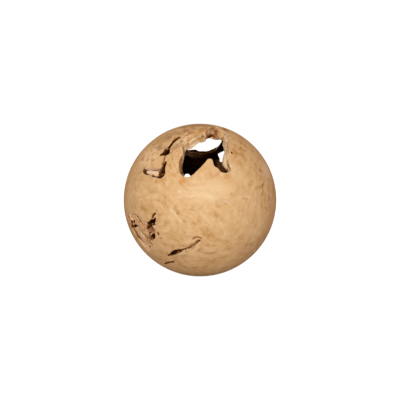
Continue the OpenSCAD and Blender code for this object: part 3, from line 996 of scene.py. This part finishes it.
    torn_stains_and_shade: tuple[Stain, ...] = (
        # The darkest patches here, deep in the back mouth, the front mouth and the pocket, are painted
        # shade.
        Stain(Spot(175, 42), 60, 14, 0, Tone.SHADE_AND_CRACK_BLACK, 0.85, 12),
        Stain(Spot(-170, 42), 14, 12, 0, Tone.SHADE_BROWN, 0.6, 10),
        # The pale blush patch is partly the pocket's pale wood and partly painted light over the shadow
        # under its top wall.
        Stain(Spot(-49, 25), 22, 12, 0, Tone.BLUSH, 1.0, 5),
        Stain(Spot(-55.5, 25.5), 3.5, 5, 0, Tone.SHADE_BROWN, 0.8, 4),
        Stain(Spot(-34, 24), 4, 7, 0, Tone.SHADE_BROWN, 0.55, 4),
        Stain(Spot(-44, -19), 6, 6, 10, Tone.RUSSET, 0.9, 7),
        Stain(Spot(-44, -20), 4, 5, 10, Tone.RUSSET, 0.9, 3.5),
        Stain(Spot(-2.5, -27.8), 5.5, 2.5, 35, Tone.AMBER, 0.5, 5.6),
        Stain(Spot(-3.8, -30), 6, 2.4, 35, Tone.HONEY, 0.9, 4.6),
        Stain(Spot(-1.7, -27.9), 3, 2.4, 35, Tone.HONEY, 0.9, 3),
        Stain(Spot(-22.5, -37.6), 6, 2.5, 10, Tone.PEACH, 0.9, 4.8),
        Stain(Spot(-18.5, -36.4), 5, 2.5, 15, Tone.PEACH, 0.9, 5),
        Stain(Spot(-48, -15), 6, 3.5, -45, Tone.PEACH, 0.7, 2),
        Stain(Spot(-48, -22), 6, 3.5, -45, Tone.PEACH, 0.7, 2),
        Stain(Spot(-53, -15), 8, 3, -50, Tone.PEACH, 0.6, 2),
        Stain(Spot(-59, -10), 9, 6, -20, Tone.PEACH, 0.5, 1.5),
        Stain(Spot(-47, -26), 5, 4, -45, Tone.UMBER, 0.6, 2),
        Stain(Spot(-62, -24), 4, 8, 20, Tone.UMBER, 0.6, 2),
        Stain(Spot(8, 73), 34, 7, 18, Tone.TAN, 0.75),
        Stain(Spot(9.5, 72), 17.7, 1.6, 29, Tone.HONEY, 0.6),
        Stain(Spot(5, 72.5), 10.2, 3.5, 30, Tone.UMBER, 0.4),
        Stain(Spot(34.5, 76), 14.4, 1.6, 8, Tone.UMBER, 0.5),
        Stain(Spot(-12, 67.5), 12.1, 1.2, 43, Tone.TAN, 0.7),
        Stain(Spot(-22.5, 62.5), 12, 1.3, 62, Tone.TAN, 0.6),
        Stain(Spot(60.5, 72.5), 6.8, 1.2, -33, Tone.TAN, 0.5),
        Stain(Spot(33, 52), 8, 16, -15, Tone.CREAM, 0.6, 7),
        Stain(Spot(-6, 67), 6, 4, 0, Tone.TAN, 0.5, 9),
        Stain(Spot(44.5, 74.5), 4.6, 1.2, -24, Tone.SHADE_BROWN, 0.4),
        Stain(Spot(6, 68.3), 6.5, 2.8, 30, Tone.UMBER, 0.75),
        Stain(Spot(55, 65), 9, 9, 0, Tone.IVORY, 0.9, 12.5),
        Stain(Spot(59, 66.8), 6, 3, 60, Tone.UMBER, 0.5, 1),
        Stain(Spot(-12.5, 60.5), 13, 1.8, 59, Tone.UMBER, 0.5),
        Stain(Spot(47, 73.5), 9, 1.4, -18, Tone.SHADE_BROWN, 0.35),
        Stain(Spot(-21, 66), 9.7, 2.9, 46, Tone.UMBER, 0.5),
        Stain(Spot(-18.5, 54.5), 5, 4, 0, Tone.UMBER, 0.6, 12),
        Stain(Spot(-165, 42.5), 14, 5, 0, Tone.TAN, 0.9, 14),
        Stain(Spot(180, 40), 16, 5, 0, Tone.UMBER, 0.7, 13),
        Stain(Spot(26.5, 28.8), 3.5, 4, 0, Tone.SHADE_BROWN, 0.55, 13),
        Stain(Spot(-17.3, 32.3), 5, 9, 0, Tone.CREAM, 1.0, 12.4),
        Stain(Spot(-16, 25.7), 4, 5, 0, Tone.SHADE_BROWN, 0.45, 9.6),
        Stain(Spot(-39.8, -11.4), 3, 3, 0, Tone.TAN, 0.8, 0.6),
        Stain(Spot(39, 76), 6, 3, -5, Tone.SHADE_AND_CRACK_BLACK, 0.75, 13.2),
        Stain(Spot(49, 73), 4, 2, -34, Tone.SHADE_BROWN, 0.3, 13.1),
        Stain(Spot(8.5, 69.5), 4, 2, 18, Tone.SHADE_BROWN, 0.45, 9.7),
        Stain(Spot(4, 67), 4, 3, 0, Tone.OCHRE, 0.6, 13),
        Stain(Spot(-16, 55), 8, 5, 0, Tone.ROSE, 0.5, 13),
        Stain(Spot(157, 29), 12, 12, 0, Tone.UMBER, 0.8, 15),
        Stain(Spot(166, 40), 26, 6, 0, Tone.SHADE_AND_CRACK_BLACK, 0.75),
        Stain(Spot(-18, 33), 5, 20, 0, Tone.UMBER, 0.35, 10),
        Stain(Spot(-19, 47), 5, 8, 0, Tone.UMBER, 0.6, 11),
    )
    crack_and_shade_lines: tuple[CrackAndShadeLine, ...] = (
        CrackAndShadeLine(CHEEK, ((8.5, 38), (5.5, 33), (3.5, 28), (3, 23), (2.5, 19)), 2.4, 0.95),
        CrackAndShadeLine(CHEEK, ((2.5, 19), (0.5, 15.5), (0, 11.5), (-1.5, 8), (-3.5, 6)), 3.8, 0.86),
        CrackAndShadeLine(CHEEK, ((2.5, 30), (3.5, 34.5), (6, 38.5)), 3, 0.55),
        CrackAndShadeLine(CHEEK, ((-1, 6), (4, 5), (4, 1), (5, -3)), 2.6, 0.5),
        CrackAndShadeLine(CHEEK, ((7, -4.5), (4.5, -5.5), (4.5, -8)), 2.6, 0.5),
        CrackAndShadeLine(CHEEK, ((8.5, -4), (7, -7), (6.5, -11), (6.5, -14.5)), 2.8, 0.88),
        CrackAndShadeLine(CHEEK, ((5, -14.5), (3, -18), (3.5, -22)), 3, 0.55),
        CrackAndShadeLine(CHEEK, ((-25, -13.5), (-25, -16), (-21.5, -20)), 2, 0.85),
        CrackAndShadeLine(CHEEK, ((-9.5, -21.5), (-4.5, -24.5), (0.5, -24)), 1.8, 0.8),
        CrackAndShadeLine(CHEEK, ((3.5, -14.5), (5, -20.5)), 1.6, 0.5),
        CrackAndShadeLine(FLANK, ((-30.5, 20.5), (-31, 18), (-26, 16.5)), 2.2, 0.5),
        CrackAndShadeLine(FLANK, ((-22.5, 12.5), (-23.5, 7.5), (-26, 3.5)), 2.8, 0.8),
        CrackAndShadeLine(FLANK, ((-24, 4.5), (-20.5, 3)), 2.4, 0.75),
        CrackAndShadeLine(FLANK, ((-23, 0), (-20, -7), (-15.5, -12)), 5.5, 0.45),
        CrackAndShadeLine(FLANK, ((23, 17), (19.5, 14.5), (14, 11.5)), 4, 0.9),
        CrackAndShadeLine(FLANK, ((21, 15), (19, 10)), 4, 0.95),
        CrackAndShadeLine(FLANK, ((12.5, 9.5), (13.5, 4), (15, -1.5)), 3, 0.45),
        CrackAndShadeLine(FLANK, ((13.5, 10), (11.5, 7.5), (9, 5)), 3, 0.7),
        CrackAndShadeLine(FLANK, ((11, -1), (10, -3.5)), 2, 0.6),
        CrackAndShadeLine(FLANK, ((11, -8), (12, -9.5), (11.5, -10)), 4.5, 0.5),
        CrackAndShadeLine(FLANK, ((10.5, -9.5), (8, -9)), 3.5, 0.4),
        CrackAndShadeLine(FLANK, ((30, 26), (27, 24.5), (25.5, 22.5), (24.5, 20.5)), 2.6, 0.7),
        CrackAndShadeLine(FLANK, ((3, -20.5), (1, -22), (-2, -24)), 2.2, 0.6),
        CrackAndShadeLine(FLANK, ((-6, 20.5), (-5, 20)), 2.5, 0.45),
        CrackAndShadeLine(FLANK, ((-1.5, 16), (-2, 14.5)), 2.5, 0.45),
        CrackAndShadeLine(FLANK, ((32, 30), (32.5, 29.5)), 2, 0.35),
        CrackAndShadeLine(FLANK, ((-10, 7), (-8, 1), (-4, -4.5)), 1.6, 0.35),
        CrackAndShadeLine(FLANK, ((0, 13), (3, 8.5), (4, 2.5)), 1.6, 0.35),
        CrackAndShadeLine(FLANK, ((-16.5, -12), (-12.5, -16.5), (-9, -18.5)), 1.8, 0.35),
        CrackAndShadeLine(FLANK, ((-2.5, -8), (-0.5, -13.5), (1, -17)), 1.8, 0.35),
        CrackAndShadeLine(BASE, ((-21.5, -14), (-16.5, -11.5), (-13, -9.5), (-9, -7)), 3, 0.88),
        CrackAndShadeLine(BASE, ((-9, -7), (-6, -6), (-4, -5), (-1.5, -3), (1, -1), (4, -0.5)), 1.8, 0.9),
        CrackAndShadeLine(BASE, ((-15.5, -6.5), (-11, -5), (-7, -5)), 2.6, 0.5),
        CrackAndShadeLine(BASE, ((0, -0.5), (4, 1.5), (8, 3)), 2.4, 0.45),
        CrackAndShadeLine(BASE, ((-10, -9), (-6.5, -6.5), (-3, -4.5)), 2.2, 0.5),
        CrackAndShadeLine(BASE, ((9, 2.5), (11, 3), (14.5, 6), (17, 8.5), (19.5, 10), (22.5, 10.5)), 1.6, 0.35),
        CrackAndShadeLine(BASE, ((-5, 6), (-1, 6), (3, 6)), 1.3, 0.3),
        CrackAndShadeLine(BASE, ((15.5, 15.5), (17.5, 17.5), (20.5, 18), (23.5, 17), (25.5, 15.5)), 1.8, 0.55),
        CrackAndShadeLine(BASE, ((-33, -37), (-28.5, -33), (-23, -29), (-16.5, -25.5)), 3, 0.75),
        CrackAndShadeLine(BASE, ((-31, 20), (-30.5, 18.5)), 3.5, 0.55),
        CrackAndShadeLine(BASE, ((-29, 13), (-26.5, 13.5)), 2.2, 0.3),
        CrackAndShadeLine(BASE, ((3.5, -4.5), (5.5, -3.5)), 2, 0.35),
        CrackAndShadeLine(Spot(31.5, 40.5), ((0, 0.5), (0.3, -0.5)), 2.4, 0.85),
        CrackAndShadeLine(Spot(54, 13.5), ((-6, -2.6), (0, 1), (5, 3.4)), 1.0, 0.4),
        CrackAndShadeLine(JAMB, ((4.5, 12.5), (3.5, 5), (4.5, -2), (7, -8.5), (12, -13.5)), 1.8, 0.45),
        CrackAndShadeLine(JAMB, ((-7, 26.5), (-4, 37), (-3.5, 45.5)), 1.6, 0.3),
        CrackAndShadeLine(JAMB, ((-12.5, 15), (-11, 21), (-8.5, 27.5)), 1.6, 0.25),
        CrackAndShadeLine(JAMB, ((-8, 7), (-7, 14), (-3.5, 21.5)), 1.6, 0.2),
    )

    chalk: Stain = Stain(Spot(-53, 37), 27, 20, 10, Tone.PEACH, 1.0)
    streak: tuple[float, float] = (40.0, 6.0)
    fibre: tuple[float, float] = (11.0, 1.4)
    strand: tuple[float, float] = (22.0, 2.4)
    split_depth: float = 0.3
    shake: float = 0.35

    def build(self) -> bpy.types.Material:
        """Makes the material.

        Returns:
            The material, ready for the ball.
        """
        material = bpy.data.materials.new("root_wood")
        material.use_nodes = True
        material.node_tree.nodes.clear()
        self.patch, self.shade_and_crack = patch_group(), shade_and_crack_group()
        plan = Plan(material.node_tree)
        place = plan.scaled(plan.add("ShaderNodeTexCoord").outputs["Object"], 1 / MM)
        depth = plan.math("SUBTRACT", self.radius, plan.vector("LENGTH", place))
        ground = plan.scaled(plan.vector("NORMALIZE", place), self.radius)
        rings = self.rings(plan, place)
        streaks = plan.grain(place, rings, *self.streak, 3, 0.55)
        fibres = plan.grain(place, rings, *self.fibre, 2, 0.6)
        pores = plan.noise(place, 1.3, 1)
        mottle = plan.noise(place, 8.0, 3, 0.6)
        flecks = plan.span(plan.noise(place, 2.2, 1), 0.3, 0.42, 1.0, 0.0)
        figure = plan.math("ADD", plan.math("MULTIPLY", streaks, 0.45), plan.math("MULTIPLY", mottle, 0.55))
        figure = plan.math("ADD", figure, plan.math("MULTIPLY", fibres, 0.15))
        figure = plan.math("ADD", figure, plan.math("MULTIPLY", pores, 0.1))
        figure = plan.math("SUBTRACT", figure, plan.math("MULTIPLY", flecks, 0.02))
        turned_figure = plan.span(figure, 0.37, 0.88)

        bed = plan.math("ADD", depth, plan.math("MULTIPLY", plan.noise(place, 16.0, 1), 9.0))
        slope = math.radians(FIBRE_SLOPE)
        across, up, _ = FLANK.axes()
        aside = plan.vector("DOT_PRODUCT", place, tuple(up * math.cos(slope) - across * math.sin(slope)))
        from_flank = plan.vector("DISTANCE", ground, tuple(FLANK.on_ball(0, 0, self.radius)))
        on_flank = plan.span(from_flank, FLANK_NEAR, FLANK_FAR, 1.0, 0.0)
        aside = plan.math("MULTIPLY", aside, 1.5)
        strands = plan.grain(place, plan.blend(on_flank, bed, aside), *self.strand, 3, 0.65)
        strands = plan.math("SUBTRACT", strands, plan.math("MULTIPLY", on_flank, 0.06))
        torn_figure = plan.span(strands, 0.3, 0.62)

        tint = tint_group()

        def tinted(finish: WoodFinish, figure: bpy.types.NodeSocket) -> bpy.types.NodeSocket:
            """Returns a finish's colour for a figure."""
            return plan.group(tint, Figure=figure, Light=finish.light, Body=finish.body,
                              Dark=finish.dark).outputs["Colour"]

        is_torn = plan.span(depth, 0.1, 0.6)
        is_hollow = plan.add("ShaderNodeAttribute", attribute_name="hollow").outputs["Fac"]
        shelter = plan.add("ShaderNodeAttribute", attribute_name="shelter").outputs["Fac"]
        ragged = plan.span(plan.noise(place, 8.0, 3), 0.25, 0.75, -0.35, 0.35)
        lumps = plan.noise(place, 7.0, 4, 0.7)
        chalky = self.patched(plan, ground, ragged, self.chalk)
        skin = plan.mix(chalky, tinted(TURNED, turned_figure),
                        tinted(CHALKY, plan.span(lumps, 0.36, 0.56)))
        skin = self.stained(plan, ground, ragged, skin, self.stains)
        # Torn wood darkens with its shelter: painted shade in pits and clefts.
        torn = plan.group(self.shade_and_crack, Colour=tinted(TORN, torn_figure),
                          Amount=plan.span(shelter, 0.5, 0.85)).outputs["Colour"]
        # The hollow's own wall turns near black: painted shade.
        torn = plan.mix(is_hollow, torn, tinted(HOLLOW_SHADE, torn_figure))
        torn = self.stained(plan, place, ragged, torn, self.torn_stains_and_shade)
        crack_and_shade = self.crack_and_shade(plan, ground)
        # Dark lines darken the wood: cracks, with painted shade along narrow deep clefts.
        colour = plan.group(self.shade_and_crack, Colour=plan.mix(is_torn, skin, torn), Amount=crack_and_shade).outputs["Colour"]
        rough = plan.blend(is_torn, TURNED.roughness, TORN.roughness)
        bare = plan.math("MAXIMUM", plan.math("MAXIMUM", is_torn, crack_and_shade), chalky)
        gloss = plan.math("MULTIPLY", plan.math("SUBTRACT", 1.0, bare), TURNED.shine)

        height = plan.math("MULTIPLY", fibres, TURNED.fibre)
        height = plan.blend(chalky, height, plan.math("MULTIPLY", lumps, CHALKY.fibre))
        height = plan.blend(is_torn, height, plan.math("MULTIPLY", torn_figure, TORN.fibre))
        height = plan.math("SUBTRACT", height, plan.math("MULTIPLY", crack_and_shade, self.split_depth))
        bump = plan.add("ShaderNodeBump")
        bump.inputs["Strength"].default_value = 1.0
        bump.inputs["Distance"].default_value = MM
        plan.feed(bump.inputs["Height"], height)

        shader = plan.add("ShaderNodeBsdfPrincipled")
        plan.feed(shader.inputs["Base Color"], colour)
        plan.feed(shader.inputs["Roughness"], rough)
        plan.feed(shader.inputs["Normal"], bump.outputs["Normal"])
        plan.feed(shader.inputs["Specular IOR Level"], 0.0)
        plan.feed(shader.inputs["Coat Weight"], gloss)
        plan.feed(shader.inputs["Coat Roughness"], TURNED.roughness)
        plan.feed(plan.add("ShaderNodeOutputMaterial").inputs["Surface"], shader.outputs[0])
        return material

    def rings(self, plan: Plan, place: bpy.types.NodeSocket) -> bpy.types.NodeSocket:
        """Lays out the growth rings, whose level lines the grain follows.

        Args:
            plan: The material's nodes.
            place: The place in the wood, in millimetres.

        Returns:
            The ring number, in millimetres across the grain.
        """
        warp = plan.noise(place, 60.0, 2)
        total = plan.math("MULTIPLY", warp, 60.0)
        middle = self.mouth.on_ball(0, 0, self.radius)
        away = plan.vector("DISTANCE", place, tuple(middle))
        total = plan.math("ADD", total, away)
        group = swirl_group()
        for swirl in self.swirls:
            node = plan.group(group, Place=place, Middle=tuple(swirl.spot.on_ball(0, 0, self.radius)),
                              Reach=swirl.reach)
            node.inputs["Lift"].default_value = swirl.lift
            total = plan.math("ADD", total, node.outputs["Lift"])
        return total

    def patched(self, plan: Plan, place: bpy.types.NodeSocket, ragged: bpy.types.NodeSocket,
                stain: Stain) -> bpy.types.NodeSocket:
        """Masks one stain.

        Args:
            plan: The material's nodes.
            place: The place in the wood, in millimetres.
            ragged: How far the stain's edge moves out, as a share of its size.
            stain: The stain.

        Returns:
            The mask, up to the stain's strength.
        """
        across, up, outward = stain.spot.axes()
        turn = math.radians(stain.turn)
        long_way = (across * math.cos(turn) + up * math.sin(turn)) / stain.across
        short_way = (up * math.cos(turn) - across * math.sin(turn)) / stain.up
        through = self.radius if stain.depth is None else min(stain.across, stain.up)
        middle = outward * (self.radius - (stain.depth or 0.0))
        return plan.group(self.patch, Place=place, Middle=tuple(middle), Long_way=tuple(long_way),
                          Short_way=tuple(short_way), Deep_way=tuple(outward / through),
                          Ragged=ragged, Strength=stain.strength).outputs["Mask"]

    def stained(self, plan: Plan, place: bpy.types.NodeSocket, ragged: bpy.types.NodeSocket,
                colour: bpy.types.NodeSocket, stains: tuple[Stain, ...]) -> bpy.types.NodeSocket:
        """Lays stains over a colour.

        Args:
            plan: The material's nodes.
            place: The place in the wood, in millimetres.
            ragged: How far the stains' edges move out, as a share of their size.
            colour: The colour so far.
            stains: The stains, the lowest first.

        Returns:
            The stained colour.
        """
        for stain in stains:
            mask = self.patched(plan, place, ragged, stain)
            # The two darkest tones darken through the shade and crack group: painted shade.
            if stain.tone in (Tone.SHADE_BROWN, Tone.SHADE_AND_CRACK_BLACK):
                colour = plan.group(self.shade_and_crack, Colour=colour, Amount=mask).outputs["Colour"]
            else:
                colour = plan.mix(mask, colour, srgb(*stain.tone.value))
        return colour

    def crack_and_shade(self, plan: Plan, place: bpy.types.NodeSocket) -> bpy.types.NodeSocket:
        """Masks the dark lines: hairline cracks, and painted shade along narrow deep clefts.

        Args:
            plan: The material's nodes.
            place: The place in the wood, in millimetres.

        Returns:
            The mask, 1 on a dark line.
        """
        group = line_group()
        jitter = plan.add("ShaderNodeTexNoise")
        plan.feed(jitter.inputs["Vector"], place)
        jitter.inputs["Scale"].default_value = self.shake
        shaken = plan.vector("ADD", place, plan.vector("SUBTRACT", jitter.outputs["Color"], (0.5,) * 3))
        total: object = 0.0
        for check in self.crack_and_shade_lines:
            points = [check.spot.on_ball(x, y, self.radius) for x, y in check.points]
            for start, end in zip(points, points[1:]):
                node = plan.group(group, Place=shaken, Start=tuple(start), Run=tuple(end - start),
                                  Width=check.width, Strength=check.strength)
                total = plan.math("MAXIMUM", total, node.outputs["Mask"])
        return total


# ---------------------------------------------------------------------------
# The studio
# ---------------------------------------------------------------------------


@dataclass
class Studio:
    """White floor, soft light and the camera.

    Attributes:
        floor_height: Height of the floor, in metres.
        floor_side: Side of the floor, in metres.
        glow: Brightness of the floor as the camera sees it.
        around: Light that comes from all sides.
        key_way: Direction of the main soft light from the ball.
        key_distance: Distance of that light, in metres.
        key_side: Side of that light, in metres.
        key_power: Power of that light, in watts.
        lens: Focal length of the camera, in millimetres.
        distance: Distance of the camera from the ball's middle, in metres.
        elevation: Height of the camera over the horizon, in degrees.
    """

    floor_height: float
    floor_side: float = 12.0
    glow: float = 0.96
    around: tuple[float, float, float, float] = (0.41, 0.305, 0.24, 1.0)
    key_way: tuple[float, float, float] = (-0.05, -1.0, 0.2)
    key_distance: float = 2.4
    key_side: float = 1.4
    key_power: float = 36.0
    lens: float = 100.0
    distance: float = 1.4578
    elevation: float = 5.0

    def build(self) -> None:
        """Sets up the floor, the light and the camera."""
        self.floor()
        self.surroundings()
        self.key()
        self.camera()

    def floor(self) -> None:
        """Lays the white floor."""
        form = bmesh.new()
        bmesh.ops.create_grid(form, x_segments=1, y_segments=1, size=self.floor_side / 2)
        bmesh.ops.translate(form, verts=form.verts, vec=(0, 0, self.floor_height))
        mesh = bpy.data.meshes.new("floor")
        form.to_mesh(mesh)
        form.free()
        floor = bpy.data.objects.new("floor", mesh)
        bpy.context.scene.collection.objects.link(floor)
        material = bpy.data.materials.new("white_floor")
        material.use_nodes = True
        material.node_tree.nodes.clear()
        plan = Plan(material.node_tree)
        matt = plan.add("ShaderNodeBsdfDiffuse")
        matt.inputs["Color"].default_value = (0.6, 0.6, 0.6, 1)
        glow = plan.add("ShaderNodeEmission")
        plan.feed(glow.inputs["Strength"],
                  plan.math("MULTIPLY", plan.add("ShaderNodeLightPath").outputs["Is Camera Ray"], self.glow))
        both = plan.add("ShaderNodeAddShader")
        plan.feed(both.inputs[0], matt.outputs[0])
        plan.feed(both.inputs[1], glow.outputs[0])
        plan.feed(plan.add("ShaderNodeOutputMaterial").inputs["Surface"], both.outputs[0])
        mesh.materials.append(material)

    def surroundings(self) -> None:
        """Surrounds the ball with an even warm light, seen as plain white."""
        world = bpy.data.worlds.new("white_room")
        bpy.context.scene.world = world
        world.use_nodes = True
        world.node_tree.nodes.clear()
        plan = Plan(world.node_tree)
        seen = plan.add("ShaderNodeLightPath").outputs["Is Camera Ray"]
        back = plan.add("ShaderNodeBackground")
        plan.feed(back.inputs["Color"], plan.mix(seen, self.around, (1.05, 1.05, 1.05, 1)))
        plan.feed(plan.add("ShaderNodeOutputWorld").inputs["Surface"], back.outputs[0])

    def key(self) -> None:
        """Hangs the large soft light beside the camera."""
        light = bpy.data.lights.new("key", "AREA")
        light.shape = "DISK"
        light.size = self.key_side
        light.energy = self.key_power
        lamp = bpy.data.objects.new("key", light)
        bpy.context.scene.collection.objects.link(lamp)
        way = Vector(self.key_way).normalized()
        lamp.location = way * self.key_distance
        lamp.rotation_euler = way.to_track_quat("Z", "Y").to_euler()

    def camera(self) -> None:
        """Aims the camera at the ball's middle."""
        data = bpy.data.cameras.new("camera")
        data.lens = self.lens
        eye = bpy.data.objects.new("camera", data)
        bpy.context.scene.collection.objects.link(eye)
        rise_angle = math.radians(self.elevation)
        way = Vector((0, -math.cos(rise_angle), math.sin(rise_angle)))
        eye.location = way * self.distance
        eye.rotation_euler = way.to_track_quat("Z", "Y").to_euler()
        bpy.context.scene.camera = eye


def main() -> None:
    """Builds the ball, its wood and the studio."""
    logging.basicConfig(level=logging.INFO, format="%(message)s")
    low, high = CAD_BOX
    radius = min(min(high), -max(low)) / MM
    bpy.context.scene.view_settings.view_transform = "Standard"

    ball = RootBall(radius)
    ball.build()
    log.info("ball: radius %.2f mm, %d faces", radius, len(ball.piece.data.polygons))

    wood = RootWood(radius).build()
    ball.piece.data.materials.clear()
    ball.piece.data.materials.append(wood)
    log.info("wood: %d nodes", len(wood.node_tree.nodes))

    Studio(low.z).build()
    log.info("studio: floor, key light and camera")


if __name__ == "__main__":
    main()
